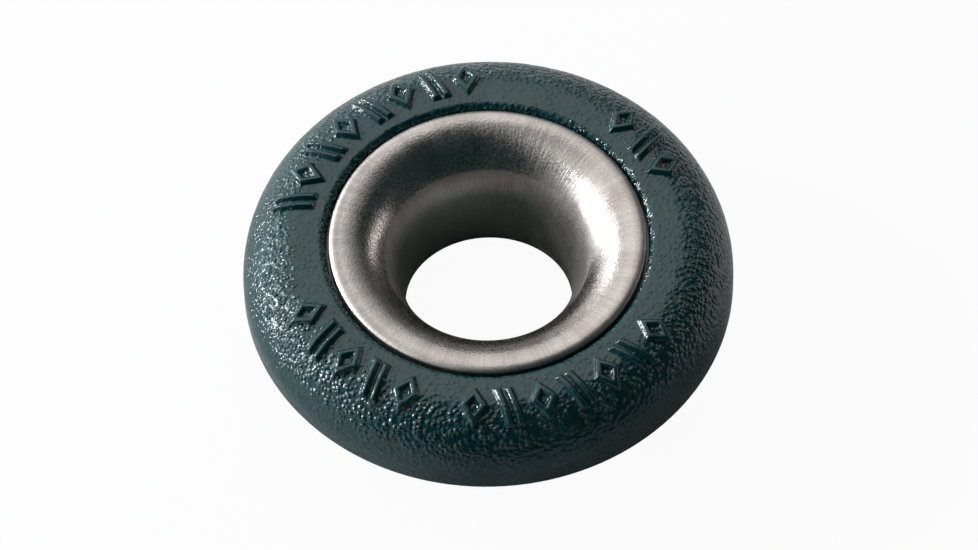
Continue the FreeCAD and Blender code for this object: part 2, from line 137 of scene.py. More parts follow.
class Graph:
    """The nodes of one material or of the world."""

    def __init__(self, tree: bpy.types.NodeTree) -> None:
        """Starts with no nodes."""
        self.tree = tree
        self.tree.nodes.clear()

    def add(
        self, kind: str, settings: Settings, inputs: Inputs, output: Union[str, int] = 0
    ) -> Outlet:
        """Adds a node.

        Args:
            kind: The node's type.
            settings: Its own properties, set first.
            inputs: Values or outlets for its sockets, by name or number.
            output: Which of its outputs to give, by name or number.

        Returns:
            The output, wrapped.
        """
        node = self.tree.nodes.new(kind)
        for name, value in settings.items():
            setattr(node, name, value)
        for key, value in inputs.items():
            if isinstance(value, Outlet):
                self.tree.links.new(value.socket, node.inputs[key])
            else:
                node.inputs[key].default_value = value
        return Outlet(self, node.outputs[output])

    def place(self) -> Outlet:
        """Gives the shaded point in millimetres, in the frame's own axes."""
        spot = self.add("ShaderNodeTexCoord", {}, {}, "Object")
        return self.add("ShaderNodeVectorMath", {"operation": "SCALE"}, {0: spot, "Scale": 1 / MM})

    def painted(self, name: str) -> Outlet:
        """Gives the values that a mesh holds at its points under a name."""
        return self.add("ShaderNodeAttribute", {"attribute_name": name}, {}, "Fac")

    def parts(self, vector: Outlet) -> tuple[Outlet, Outlet, Outlet]:
        """Gives the three components of a vector."""
        first = self.add("ShaderNodeSeparateXYZ", {}, {0: vector}, "X")
        return first, first.sibling("Y"), first.sibling("Z")

    def vector(self, x: Any, y: Any, z: Any) -> Outlet:
        """Joins three values into a vector."""
        return self.add("ShaderNodeCombineXYZ", {}, {0: x, 1: y, 2: z})

    def speckle(self, vector: Outlet, scale: float, detail: float, rough: float = 0.5) -> Outlet:
        """Gives soft random values about 0.5 whose size follows the scale."""
        inputs = {"Vector": vector, "Scale": scale, "Detail": detail, "Roughness": rough}
        return self.add("ShaderNodeTexNoise", {"noise_dimensions": "3D"}, inputs)

    def rise(self, value: Any, low: float, high: float) -> Outlet:
        """Goes smoothly from 0 at the low value to 1 at the high one."""
        inputs: Inputs = {"Value": value, "From Min": low, "From Max": high}
        return self.add("ShaderNodeMapRange", {"interpolation_type": "SMOOTHSTEP"}, inputs)

    def blend(self, mask: Any, first: Any, second: Any) -> Outlet:
        """Mixes two colours: the first where the mask is 0, the second where it is 1."""
        # The node's sockets share their names, and 6 and 7 are the two colours.
        inputs = {0: mask, 6: self._rgba(first), 7: self._rgba(second)}
        return self.add("ShaderNodeMix", {"data_type": "RGBA"}, inputs, 2)

    @staticmethod
    def _rgba(colour: Any) -> Any:
        """Gives a plain colour its alpha, and lets an outlet through."""
        return colour if isinstance(colour, Outlet) else (*colour, 1.0)

    def bump(self, height: Outlet, depth: float, below: Union[Outlet, None] = None) -> Outlet:
        """Turns a height from 0 to 1 into a normal.

        Args:
            height: The height's values.
            depth: How high a value of 1 stands, in millimetres.
            below: A normal that this one rides on.

        Returns:
            The bumped normal.
        """
        inputs: Inputs = {"Strength": 1.0, "Distance": depth * MM, "Height": height}
        if below is not None:
            inputs["Normal"] = below
        return self.add("ShaderNodeBump", {}, inputs)

    def mix(self, share: Outlet, first: Outlet, second: Outlet) -> Outlet:
        """Mixes two shaders: the first where the share is 0, the second where it is 1."""
        return self.add("ShaderNodeMixShader", {}, {0: share, 1: first, 2: second})

    def finish(self, kind: str, shader: Outlet) -> None:
        """Sends a shader to the surface of the material or world."""
        node = self.tree.nodes.new(kind)
        self.tree.links.new(shader.socket, node.inputs["Surface"])


def heading(azimuth: float, elevation: float) -> Vector:
    """Gives the direction at an azimuth, clockwise from +Y, and a height in degrees."""
    turn, up = math.radians(azimuth), math.radians(elevation)
    return Vector((math.sin(turn) * math.cos(up), math.cos(turn) * math.cos(up), math.sin(up)))


def eased(share: Number) -> Number:
    """Eases values from 0 to 1 in and out."""
    return share * share * (3 - 2 * share)


def lifted(least: float, value: Outlet) -> Outlet:
    """Squeezes values from 0 to 1 into those from the least to 1."""
    return least + value * (1 - least)


def place_object(name: str, data: bpy.types.ID) -> bpy.types.Object:
    """Makes an object of a mesh, lamp or camera and links it to the scene."""
    item = bpy.data.objects.new(name, data)
    bpy.context.scene.collection.objects.link(item)
    return item


def new_graph(name: str) -> tuple[bpy.types.Material, Graph]:
    """Makes a material with an empty graph."""
    material = bpy.data.materials.new(name)
    material.use_nodes = True
    return material, Graph(material.node_tree)


@dataclass(frozen=True)
class NylonFinish:
    """Black nylon with a teal cast, moulded with a fine spark-eroded grain.

    Sizes in millimetres are of the grain that is too fine for the mesh: pebbles of
    many heights, with grit on them. Clouds are broad changes of tone and gloss.
    """

    deep: Colour = (0.0014, 0.0385, 0.0435)
    raised: Colour = (0.0056, 0.0585, 0.0645)
    tone_start: float = 0.35
    tone_end: float = 0.7
    tone_of_pebbles: float = 0.2
    refraction: float = 1.6
    roughness: float = 0.18
    roughness_spread: float = 0.10
    pebble: float = 0.38
    pebble_depth: float = 0.158
    pebble_narrowness: float = 4.6
    lowest_pebble: float = 0.45
    grit: float = 0.14
    grit_depth: float = 0.028
    grit_detail: float = 1.0
    grit_least: float = 0.4
    cloud: float = 3.0
    cloud_detail: float = 3.0

    def make(self) -> bpy.types.Material:
        """Builds the material."""
        material, graph = new_graph("grained_nylon")
        place = graph.place()
        grain = graph.painted("grain")
        near = graph.add("ShaderNodeTexVoronoi", {}, {"Vector": place, "Scale": 1 / self.pebble})
        tall = graph.parts(near.sibling("Color"))[0]
        dome = math.e ** (near * near * -self.pebble_narrowness)
        pebbles = dome * lifted(self.lowest_pebble, tall) * grain
        grit = graph.speckle(place, 1 / self.grit, self.grit_detail)
        cloud = graph.speckle(place, 1 / self.cloud, self.cloud_detail)
        mixed = pebbles * self.tone_of_pebbles + cloud * (1 - self.tone_of_pebbles)
        tone = graph.rise(mixed, self.tone_start, self.tone_end)
        normal = graph.bump(pebbles, self.pebble_depth)
        shader = graph.add("ShaderNodeBsdfPrincipled", {}, {
            "Base Color": graph.blend(tone, self.deep, self.raised),
            "Roughness": self.roughness + (cloud - 0.5) * self.roughness_spread,
            "IOR": self.refraction,
            "Normal": graph.bump(grit * lifted(self.grit_least, grain), self.grit_depth, normal),
        })
        graph.finish("ShaderNodeOutputMaterial", shader)
        return material


@dataclass(frozen=True)
class SteelFinish:
    """Stainless sheet with a satin finish, its brush lines up the flare.

    A side is an angle round the bore, and side_start and side_full are cosines of the
    angle away from it: the lines show most on one side, and the highlight falls on
    another. The lip grows duller from its inner to its outer radius. A top and a foot
    are the heights between which a look comes in: matt is the throat's dullness, soft
    is that of the highlight side, which starts higher, and the painted shade is a dark
    teal base colour painted down the throat, a painted shade with a painted teal
    reflection in it. The highlight side is mostly clear of it, so that side is painted
    lighter. All three fade out towards the front, at -Y.
    """

    bright: Colour = (0.645, 0.590, 0.560)
    dull: Colour = (0.500, 0.447, 0.418)
    wear_start: float = 0.38
    wear_end: float = 0.62
    roughness: float = 0.23
    roughness_spread: float = 0.10
    anisotropy: float = 0.40
    line_count: float = 46.0
    line_stretch: float = 0.45
    line_detail: float = 4.0
    line_contrast: float = 0.65
    line_depth: float = 0.029
    line_least: float = 0.13
    line_side: float = 50.0
    # the side where the left lamps' highlight falls; the throat's painted shade is cleared there,
    # leaving painted light
    highlight_side_angle: float = 20.0
    side_start: float = 0.70
    side_full: float = 0.96
    speck: float = 0.17
    speck_detail: float = 1.5
    speck_depth: float = 0.018
    speck_start: float = 0.38
    speck_end: float = 0.64
    speck_roughness: float = 0.10
    smudge: float = 2.6
    smudge_detail: float = 3.0
    lip_roughness: float = 0.17
    lip_inner: float = 11.25
    lip_outer: float = 11.75
    throat_roughness: float = 0.26
    matt_top: float = 3.8
    matt_foot: float = 3.45
    soft_top: float = 5.0
    soft_foot: float = 3.1
    # painted shade: the throat's colour, a dark teal for a painted shade with a painted teal
    # reflection in it
    painted_throat_shade: Colour = (0.315, 0.368, 0.335)
    shade_top: float = 3.3
    shade_foot: float = 1.3
    # how much of the throat's painted shade the highlight side is cleared of
    highlight_side_clear: float = 0.8
    front_start: float = -2.5
    front_end: float = -6.0

    def make(self) -> bpy.types.Material:
        """Builds the material."""
        material, graph = new_graph("satin_steel")
        place = graph.place()
        x, y, z = graph.parts(place)
        square = x * x + y * y
        radius = square ** 0.5
        right, back = x / radius, y / radius
        # the first mask is where the brush lines show most, the second is the highlight side,
        # painted lighter and duller
        lined, highlight_side = (
            graph.rise(right * side.x + back * side.y, self.side_start, self.side_full)
            for side in (heading(90 - self.line_side, 0), heading(90 - self.highlight_side_angle, 0))
        )
        turned = (right * self.line_count, back * self.line_count)
        unrolled = graph.vector(*turned, z * self.line_stretch)
        lines = graph.speckle(unrolled, 1.0, self.line_detail, self.line_contrast)
        specks = graph.speckle(place, 1 / self.speck, self.speck_detail)
        smudge = graph.speckle(place, 1 / self.smudge, self.smudge_detail)
        wear = graph.rise((lines + smudge) / 2, self.wear_start, self.wear_end)
        spots = graph.rise(specks, self.speck_start, self.speck_end)
        lip = graph.rise(square, self.lip_inner ** 2, self.lip_outer ** 2)
        calm = 1 - graph.rise(y, self.front_start, self.front_end)
        edge = graph.rise(z, self.matt_top, self.matt_foot)
        soft = graph.rise(z, self.soft_top, self.soft_foot) * highlight_side
        matt = (edge + soft * (1 - edge)) * calm
        # painted shade: darker and tealer towards the bottom of the throat, less on the highlight
        # side and at the front
        depth = graph.rise(z, self.shade_top, self.shade_foot) * (1 - highlight_side * self.highlight_side_clear) * calm
        roughness = (
            self.roughness
            + (smudge - 0.5) * self.roughness_spread
            + spots * self.speck_roughness
            + matt * self.throat_roughness
            + lip * self.lip_roughness
        )
        tone = graph.blend(wear, self.dull, self.bright)
        normal = graph.bump(lines * lifted(self.line_least, lined), self.line_depth)
        shader = graph.add("ShaderNodeBsdfPrincipled", {}, {
            # the base colour carries the throat's painted shade
            "Base Color": graph.blend(depth, tone, self.painted_throat_shade),
            "Metallic": 1.0,
            "Roughness": roughness,
            "Anisotropic": self.anisotropy,
            "Normal": graph.bump(specks, self.speck_depth, normal),
        })
        graph.finish("ShaderNodeOutputMaterial", shader)
        return material


@dataclass
class Contour:
    """The closed section of a turned piece, walked with its material on the left.

    A ring is a radius, a height, the number of points round the bore and a weight
    from 0 to 1 for the relief of the surface there.
    """

    radius: float
    height: float
    step: float
    count: int
    weight: float = 0.0
    rings: list[tuple[float, float, int, float]] = field(default_factory=list)

    def __post_init__(self) -> None:
        """Puts down the first ring."""
        self._put(self.radius, self.height)

    def _put(self, radius: float, height: float) -> None:
        """Adds a ring with the present count and weight."""
        self.radius, self.height = radius, height
        self.rings.append((radius, height, self.count, self.weight))

    def change(self, step: float, count: int, weight: float = 0.0) -> None:
        """Changes the spacing, count and weight from here on."""
        self.step, self.count, self.weight = step, count, weight

    def line(self, radius: float, height: float) -> None:
        """Walks straight to a place."""
        start = (self.radius, self.height)
        across, up = radius - start[0], height - start[1]
        parts = max(1, round(math.hypot(across, up) / self.step))
        for share in (part / parts for part in range(1, parts + 1)):
            self._put(start[0] + across * share, start[1] + up * share)

    def bend(self, across: float, up: float, first: float, last: float) -> None:
        """Walks along an ellipse with level and upright axes, from where it stands.

        Args:
            across: The ellipse's level half-axis.
            up: Its upright half-axis.
            first: The angle at which the walk stands on it, in degrees.
            last: The angle at which the walk leaves it.
        """
        begin, end = math.radians(first), math.radians(last)
        centre = (self.radius - across * math.cos(begin), self.height - up * math.sin(begin))
        angles = np.linspace(begin, end, TRACK_POINTS)
        track = np.stack((np.cos(angles) * across, np.sin(angles) * up), axis=1) + centre
        run = np.concatenate(((0.0,), np.cumsum(np.hypot(*np.diff(track, axis=0).T))))
        parts = max(2, round(run[-1] / self.step))
        for place in np.linspace(0.0, run[-1], parts + 1)[1:]:
            self._put(*(float(np.interp(place, run, track[:, axis])) for axis in (0, 1)))


@dataclass
class Lathe:
    """Turns a contour into a mesh whose rings may hold different numbers of points.

    Neighbouring rings hold the same number or a whole multiple of it.
    """

    contour: Contour

    def __post_init__(self) -> None:
        """Works out the points and the outward directions, one row for each point."""
        rings = self.contour.rings
        if math.dist(rings[0][:2], rings[-1][:2]) < SAME_PLACE:
            rings = rings[:-1]
        self.counts = [count for _, _, count, _ in rings]
        section = np.array([ring[:2] for ring in rings])
        travel = np.roll(section, -1, axis=0) - np.roll(section, 1, axis=0)
        travel /= np.hypot(*travel.T)[:, None]
        repeat = np.repeat(np.arange(len(rings)), self.counts)
        turns = [np.arange(count) * (2 * np.pi / count) for count in self.counts]
        self.turn = np.concatenate(turns)
        self.radius, self.height = section[repeat].T
        self.out, self.up = travel[repeat, 1], -travel[repeat, 0]
        self.weight = np.array([weight for *_, weight in rings])[repeat]

    def _turned(self, level: np.ndarray, upright: np.ndarray) -> np.ndarray:
        """Turns each point's level and upright values into a vector."""
        return np.stack((level * np.cos(self.turn), level * np.sin(self.turn), upright), axis=1)

    def points(self) -> np.ndarray:
        """Gives each point's place in millimetres."""
        return self._turned(self.radius, self.height)

    def directions(self) -> np.ndarray:
        """Gives the outward direction at each point."""
        return self._turned(self.out, self.up)

    def faces(self) -> list[tuple[int, ...]]:
        """Joins each ring to the next, and the last to the first."""
        starts = np.concatenate(((0,), np.cumsum(self.counts)[:-1])).tolist()
        faces: list[tuple[int, ...]] = []
        for here, count in enumerate(self.counts):
            there = (here + 1) % len(self.counts)
            faces += self._band(starts[here], count, starts[there], self.counts[there])
        return faces

    @staticmethod
    def _band(first: int, count: int, second: int, other: int) -> list[tuple[int, ...]]:
        """Joins two rings by squares, or by fans where one has more points.

        Args:
            first: Number of the first ring's first point.
            count: The first ring's count.
            second: Number of the second ring's first point.
            other: The second ring's count.

        Returns:
            The faces, wound so that they face outwards.
        """
        if count == other:
            return [
                (first + i, second + i, second + (i + 1) % count, first + (i + 1) % count)
                for i in range(count)
            ]
        swapped = count > other
        few, many = (other, count) if swapped else (count, other)
        low, high = (second, first) if swapped else (first, second)
        share = many // few
        faces: list[tuple[int, ...]] = []
        for i in range(few):
            here, there = low + i, low + (i + 1) % few
            fan = [high + (i * share + k) % many for k in range(share + 1)]
            half = (share + 1) // 2
            faces += [(here, fan[k], fan[k + 1]) for k in range(half)]
            faces.append((here, fan[half], there))
            faces += [(there, fan[k], fan[k + 1]) for k in range(half, share)]
        return [face[::-1] for face in faces] if swapped else faces

    def mesh(self, name: str, moved: np.ndarray, crease: float) -> bpy.types.Object:
        """Makes the object.

        Args:
            name: The piece's name.
            moved: Each point's place in millimetres, once the relief is on it.
            crease: Angle in degrees past which an edge of the plain section stays sharp.

        Returns:
            The object, linked to the scene.
        """
        mesh = bpy.data.meshes.new(name)
        mesh.from_pydata((self.points() * MM).tolist(), [], self.faces())
        mesh.shade_smooth()
        mesh.set_sharp_from_angle(angle=math.radians(crease))
        mesh.vertices.foreach_set("co", (moved * MM).astype(np.float32).ravel())
        mesh.update()
        return place_object(name, mesh)


class Motif(Enum):
    """The shapes of the raised marks."""

    LOZENGE = "lozenge with an open middle"
    SLANTS = "two slanted bars"


@dataclass(frozen=True)
class Marks:
    """Rows of raised marks on the flange, lozenges and slanted bars by turns.

    A row is the angle of its first mark, in degrees round the bore, and its count.
    """

    rise: float = 0.30
    length: float = 3.0
    width: float = 2.1
    stroke: float = 0.5
    lean: float = 0.75
    inset: float = 0.65
    pitch: float = 10.0
    draft: float = 0.28
    rows: tuple[tuple[int, int], ...] = ((25, 3), (95, 8), (205, 5), (265, 7))

    def middles(self) -> list[tuple[float, Motif]]:
        """Gives each mark's angle and motif."""
        motifs = (Motif.LOZENGE, Motif.SLANTS)
        return [
            (math.radians(first + number * self.pitch), motifs[number % 2])
            for first, count in self.rows for number in range(count)
        ]

    def _gap(self, motif: Motif, out: np.ndarray, across: np.ndarray) -> np.ndarray:
        """Gives the distance from a mark's strokes, below 0 inside them.

        Args:
            motif: The mark's shape.
            out: Places outwards from the mark's middle.
            across: Places round the bore from it.

        Returns:
            The distances in millimetres.
        """
        half, wide = self.length / 2, self.width / 2
        if motif is Motif.LOZENGE:
            reach = half * wide / math.hypot(half, wide)
            outside = (np.abs(out) / half + np.abs(across) / wide - 1) * reach
            return np.maximum(outside, -self.stroke - outside)
        middle = wide - (self.stroke + self.lean) / 2
        leant = across - out * self.lean / self.length
        bars = np.minimum(np.abs(leant - middle), np.abs(leant + middle)) - self.stroke / 2
        return np.maximum(bars, np.abs(out) - half)

    def share(self, places: np.ndarray, radius: float) -> np.ndarray:
        """Gives how far up its mark each place stands, from 0 to 1.

        Args:
            places: Places on the plain surface, in millimetres.
            radius: Radius of the middle of the marks.

        Returns:
            One value for each place.
        """
        share = np.zeros(len(places))
        for angle, motif in self.middles():
            along = np.array((math.cos(angle), math.sin(angle)))
            out = places[:, :2] @ along - radius
            across = places[:, 1] * along[0] - places[:, 0] * along[1]
            cell = (np.abs(out) < self.length) & (np.abs(across) < self.width) & (places[:, 2] > 0)
            wall = np.clip(0.5 - self._gap(motif, out[cell], across[cell]) / self.draft, 0.0, 1.0)
            share[cell] = np.maximum(share[cell], eased(wall))
        return share


@dataclass(frozen=True)
class Sheet:
    """The liner's sheet, whose outer skin the bush's own way follows."""

    wall: float = 0.95
    bore: float = 13.0
    rim_land: float = 0.55
    throat_length: float = 1.3
    roll_radius: float = 2.8
    roll_angle: float = 60.0
    roll_set: float = 0.15

    def throat(self, end: float) -> tuple[float, float]:
        """Gives the heights of the throat's foot and top over a spigot's end."""
        rise = self.roll_radius * math.sin(math.radians(self.roll_angle))
        foot = end + self.roll_set + rise
        return foot, foot + self.throat_length


@dataclass
class NylonBush:
    """The moulded bush: flange, spigot with glue grooves and the way for the liner.

    Heights count from the deck. The grain and the marks are part of its mesh. The
    grain is full between two angles up the shoulder, grain_full and grain_ebb, and
    goes down to its shares at the flange's edge and on the flat. The crease is the
    angle past which an edge stays sharp.
    """

    finish: NylonFinish = field(default_factory=NylonFinish)
    marks: Marks = field(default_factory=Marks)
    sheet: Sheet = field(default_factory=Sheet)
    edge_land: float = 1.4
    flat_width: float = 1.7
    base_round: float = 0.2
    spigot_chamfer: float = 0.5
    groove_width: float = 0.9
    groove_depth: float = 0.4
    groove_count: int = 2
    rim_gap: float = 0.2
    mouth_round: float = 0.55
    rim_stand: float = 0.05
    clearance: float = 0.05
    collar_chamfer: float = 0.25
    spigot: float = 22.0
    points_round: int = 1120
    hidden_thinning: int = 8
    fine_step: float = 0.086
    plain_step: float = 0.17
    hidden_step: float = 0.5
    fine_from: float = 50.0
    grain_edge: float = 0.30
    grain_full: float = 40.0
    grain_ebb: float = 74.0
    grain_flat: float = 0.22
    pebble: float = 0.36
    pebble_depth: float = 0.016
    pebble_narrowness: float = 6.0
    swell: float = 1.1
    swell_depth: float = 0.02
    mark_smoothness: float = 0.8
    crease: float = 32.0

    def __post_init__(self) -> None:
        """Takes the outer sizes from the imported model."""
        low, high = (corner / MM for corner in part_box("bush_body"))
        self.flange_radius = high.x
        self.flange_height = high.z - self.marks.rise
        self.spigot_end = low.z
        self.rim_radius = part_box("steel_liner")[1].x / MM
        self.recess_radius = self.rim_radius + self.rim_gap
        self.flat_radius = self.recess_radius + self.mouth_round + self.flat_width
        self.seat = self.flange_height + self.rim_stand - self.sheet.wall

    def contour(self) -> Contour:
        """Walks the section: up the side, over the top, down the bore and back below."""
        half, few = self.points_round // 2, self.points_round // self.hidden_thinning
        skin = self.sheet.wall + self.clearance
        flare_radius = self.rim_radius - self.sheet.rim_land
        throat = self.sheet.bore / 2 + skin
        throat_foot, throat_top = self.sheet.throat(self.spigot_end)
        roll = self.sheet.roll_radius - skin
        shoulder = (self.flange_radius - self.flat_radius, self.flange_height - self.edge_land)
        walk = Contour(self.flange_radius, self.base_round, self.plain_step, half, 1.0)
        walk.line(self.flange_radius, self.edge_land)
        walk.bend(*shoulder, 0, self.fine_from)
        walk.change(self.fine_step, self.points_round, 1.0)
        walk.bend(*shoulder, self.fine_from, 90)
        walk.line(self.flat_radius - self.marks.length / 2, self.flange_height)
        walk.change(self.plain_step, half, 1.0)
        walk.line(self.recess_radius + self.mouth_round, self.flange_height)
        walk.bend(self.mouth_round, self.mouth_round, 90, 180)
        walk.change(self.hidden_step, few)
        walk.line(self.recess_radius, self.seat)
        walk.line(flare_radius, self.seat)
        walk.line(flare_radius, self.seat - self.clearance)
        walk.bend(flare_radius - throat, self.seat - self.clearance - throat_top, 90, 180)
        walk.line(throat, throat_foot)
        walk.bend(roll, roll, 180, 180 + self.sheet.roll_angle)
        walk.line(walk.radius, self.spigot_end + self.collar_chamfer)
        walk.line(walk.radius + self.collar_chamfer, self.spigot_end)
        walk.line(self.spigot / 2 - self.spigot_chamfer, self.spigot_end)
        walk.line(self.spigot / 2, self.spigot_end + self.spigot_chamfer)
        land = (-walk.height - self.groove_count * self.groove_width) / (self.groove_count + 1)
        for _ in range(self.groove_count):
            walk.line(self.spigot / 2, walk.height + land)
            walk.line(self.spigot / 2 - self.groove_depth, walk.height)
            walk.line(self.spigot / 2 - self.groove_depth, walk.height + self.groove_width)
            walk.line(self.spigot / 2, walk.height)
        walk.line(self.spigot / 2, 0)
        walk.line(self.flange_radius - self.base_round, 0)
        walk.bend(self.base_round, self.base_round, 270, 360)
        return walk

    def grain_share(self, lathe: Lathe, marked: np.ndarray) -> np.ndarray:
        """Gives how much of the grain each point has, from 0 to 1.

        Args:
            lathe: The plain surface.
            marked: How far up its mark each point stands, from 0 to 1.

        Returns:
            One value for each point: most on the shoulder, least on the side and the marks.
        """
        sine = (lathe.height - self.edge_land) / (self.flange_height - self.edge_land)
        angle = np.degrees(np.arcsin(np.clip(sine, 0.0, 1.0)))
        stops = (0.0, self.grain_full, self.grain_ebb, 90.0)
        share = np.interp(angle, stops, (self.grain_edge, 1.0, 1.0, self.grain_flat))
        return share * lathe.weight * (1 - self.mark_smoothness * marked)

    def grain_height(self, spot: Vector) -> float:
        """Gives the grain's height at a place: small domes on a gentle swell, in millimetres."""
        near = noise.voronoi(spot / self.pebble)[0][0]
        dome = math.exp(-self.pebble_narrowness * near * near)
        return dome * self.pebble_depth + noise.noise(spot / self.swell) * self.swell_depth

    def relief(self, lathe: Lathe, marked: np.ndarray, grain: np.ndarray) -> np.ndarray:
        """Gives how far the grain and the marks lift each point, in millimetres.

        Args:
            lathe: The plain surface.
            marked: How far up its mark each point stands, from 0 to 1.
            grain: How much of the grain each point has, from 0 to 1.

        Returns:
            One height for each point.
        """
        lift = marked * self.marks.rise
        spots = lathe.points()
        for number in np.flatnonzero(grain):
            lift[number] += self.grain_height(Vector(spots[number])) * grain[number]
        return lift

    def build(self) -> bpy.types.Object:
        """Makes the mesh with its relief, and dresses it."""
        lathe = Lathe(self.contour())
        marked = self.marks.share(lathe.points(), self.flat_radius + self.marks.inset)
        grain = self.grain_share(lathe, marked)
        lift = self.relief(lathe, marked, grain)
        moved = lathe.points() + lathe.directions() * lift[:, None]
        piece = lathe.mesh("moulded_bush", moved, self.crease)
        piece.data.attributes.new("grain", "FLOAT", "POINT").data.foreach_set("value", grain)
        piece.data.materials.append(self.finish.make())
        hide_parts("bush_body")
        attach(piece, "root")
        return piece


@dataclass
class SteelLiner:
    """The spun liner: a lip, a bell mouth, a throat and a rolled lower end.

    The lip's top curves outwards and down until it is tilted, and a small round joins
    it to the lip's upright side. The other sizes are as in the bush.
    """

    finish: SteelFinish = field(default_factory=SteelFinish)
    sheet: Sheet = field(default_factory=Sheet)
    rim_curve: float = 0.76
    rim_tilt: float = 40.5
    rim_round: float = 0.12
    sheet_round: float = 0.15
    spigot_end: float = -5.2
    points_round: int = 400
    step: float = 0.16
    corner_step: float = 0.05
    crease: float = 40.0

    def __post_init__(self) -> None:
        """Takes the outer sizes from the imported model."""
        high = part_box("steel_liner")[1] / MM
        self.rim_radius = high.x
        self.top = high.z

    def contour(self) -> Contour:
        """Walks the section: up the lip's side, down the flare and back outside."""
        count, corner = self.points_round, self.sheet_round
        wall, roll, roll_end = self.sheet.wall, self.sheet.roll_radius, 180 + self.sheet.roll_angle
        under = self.top - wall
        flare_radius = self.rim_radius - self.sheet.rim_land
        throat = self.sheet.bore / 2
        throat_foot, throat_top = self.sheet.throat(self.spigot_end)
        tilt, turned = math.radians(self.rim_tilt), math.radians(self.sheet.roll_angle)
        drop = self.rim_curve * (1 - math.cos(tilt)) + self.rim_round * math.cos(tilt)
        walk = Contour(self.rim_radius, under + corner, self.corner_step, count)
        walk.line(self.rim_radius, self.top - drop)
        walk.bend(self.rim_round, self.rim_round, 0, 90 - self.rim_tilt)
        walk.bend(self.rim_curve, self.rim_curve, 90 - self.rim_tilt, 90)
        walk.line(flare_radius, self.top)
        walk.change(self.step, count)
        walk.bend(flare_radius - throat, self.top - throat_top, 90, 180)
        walk.line(throat, throat_foot)
        walk.bend(roll, roll, 180, roll_end)
        walk.line(walk.radius + wall * math.cos(turned), walk.height + wall * math.sin(turned))
        walk.bend(roll - wall, roll - wall, roll_end, 180)
        walk.line(throat + wall, throat_top)
        walk.bend(flare_radius - throat - wall, under - throat_top, 180, 90)
        walk.line(self.rim_radius - corner, under)
        walk.change(self.corner_step, count)
        walk.bend(corner, corner, 270, 360)
        return walk

    def build(self) -> bpy.types.Object:
        """Makes the mesh and dresses it."""
        lathe = Lathe(self.contour())
        piece = lathe.mesh("spun_liner", lathe.points(), self.crease)
        piece.data.materials.append(self.finish.make())
        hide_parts("steel_liner")
        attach(piece, "root")
        return piece


@dataclass(frozen=True)
class Flag:
    """A dark card with soft edges in the tent round the part.

    Angles are in degrees: the middle is an azimuth, clockwise from +Y seen from above,
    and low and high are heights above the horizon. Each edge is soft over its fade.
    """

    middle: float
    half_width: float
    side_fade: float
    low: float
    high: float
    height_fade: float
    cover: float

    def shade(self, azimuth: float, elevation: float) -> float:
        """Gives how much of the light from a direction the flag takes away."""
        away = abs((azimuth - self.middle + 180) % 360 - 180)
        edges = (
            (self.half_width - away) / self.side_fade,
            (elevation - self.low) / self.height_fade,
            (self.high - elevation) / self.height_fade,
        )
        share = self.cover
        for edge in edges:
            share *= eased(min(1.0, max(0.0, edge + 0.5)))
        return share


@dataclass(frozen=True)
class Tent:
    """A clear dome round the part, dark where its flags hang."""

    radius: float = 900.0
    columns: int = 120
    rows: int = 60
    glow: Colour = (0.006, 0.022, 0.024)
    flags: tuple[Flag, ...] = (
        Flag(118, 93, 60, 9, 200, 5, 0.99),
        Flag(192, 50, 24, 10, 200, 3, 0.985),
        Flag(18, 40, 20, -30, 20, 16, 0.90),
        Flag(130, 84, 16, -30, 14, 3, 0.91),
        Flag(-84, 50, 34, 4, 46, 12, 0.55),
        Flag(0, 400, 10, 71, 200, 18, 0.80),
    )

    def _cloth(self) -> bpy.types.Material:
        """Makes the dome's look, dark where a flag covers it and clear elsewhere."""
        material, graph = new_graph("tent_cloth")
        dark = graph.add("ShaderNodeEmission", {}, {"Color": (*self.glow, 1.0), "Strength": 1.0})
        clear = graph.add("ShaderNodeBsdfTransparent", {}, {})
        graph.finish("ShaderNodeOutputMaterial", graph.mix(graph.painted("cover"), clear, dark))
        return material

    def build(self) -> bpy.types.Object:
        """Makes the dome, which only gloss and soft light meet."""
        points, faces, cover = [], [], []
        for row in range(self.rows + 1):
            elevation = 90.0 * row / self.rows
            for column in range(self.columns):
                azimuth = 360.0 * column / self.columns
                points.append(heading(azimuth, elevation) * self.radius * MM)
                left = math.prod(1 - flag.shade(azimuth, elevation) for flag in self.flags)
                cover.append(1 - left)
        for start in range(0, self.rows * self.columns, self.columns):
            for column in range(self.columns):
                first, second = start + column, start + (column + 1) % self.columns
                faces.append((first, second, second + self.columns, first + self.columns))
        mesh = bpy.data.meshes.new("tent")
        mesh.from_pydata(points, [], faces)
        mesh.attributes.new("cover", "FLOAT", "POINT").data.foreach_set("value", cover)
        mesh.materials.append(self._cloth())
        tent = place_object("tent", mesh)
        tent.visible_camera = False
        tent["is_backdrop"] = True
        return tent


@dataclass(frozen=True)
class Lamp:
    """A flat studio lamp that faces the part.

    Its azimuth counts in degrees clockwise from +Y, seen from above. Its glow is its
    own brightness, where 1 is white.
    """

    name: str
    azimuth: float
    elevation: float
    distance: float
    width: float
    height: float
    glow: float
    colour: Colour

    def build(self) -> bpy.types.Object:
        """Makes the lamp."""
        away = heading(self.azimuth, self.elevation)
        light = bpy.data.lights.new(self.name, "AREA")
        light.shape = "RECTANGLE"
        light.size, light.size_y = self.width * MM, self.height * MM
        light.energy = self.glow * math.pi * light.size * light.size_y
        light.color = self.colour
        lamp = place_object(self.name, light)
        lamp.location = away * self.distance * MM
        lamp.rotation_euler = away.to_track_quat("Z", "Y").to_euler()
        lamp.visible_camera = False
        return lamp


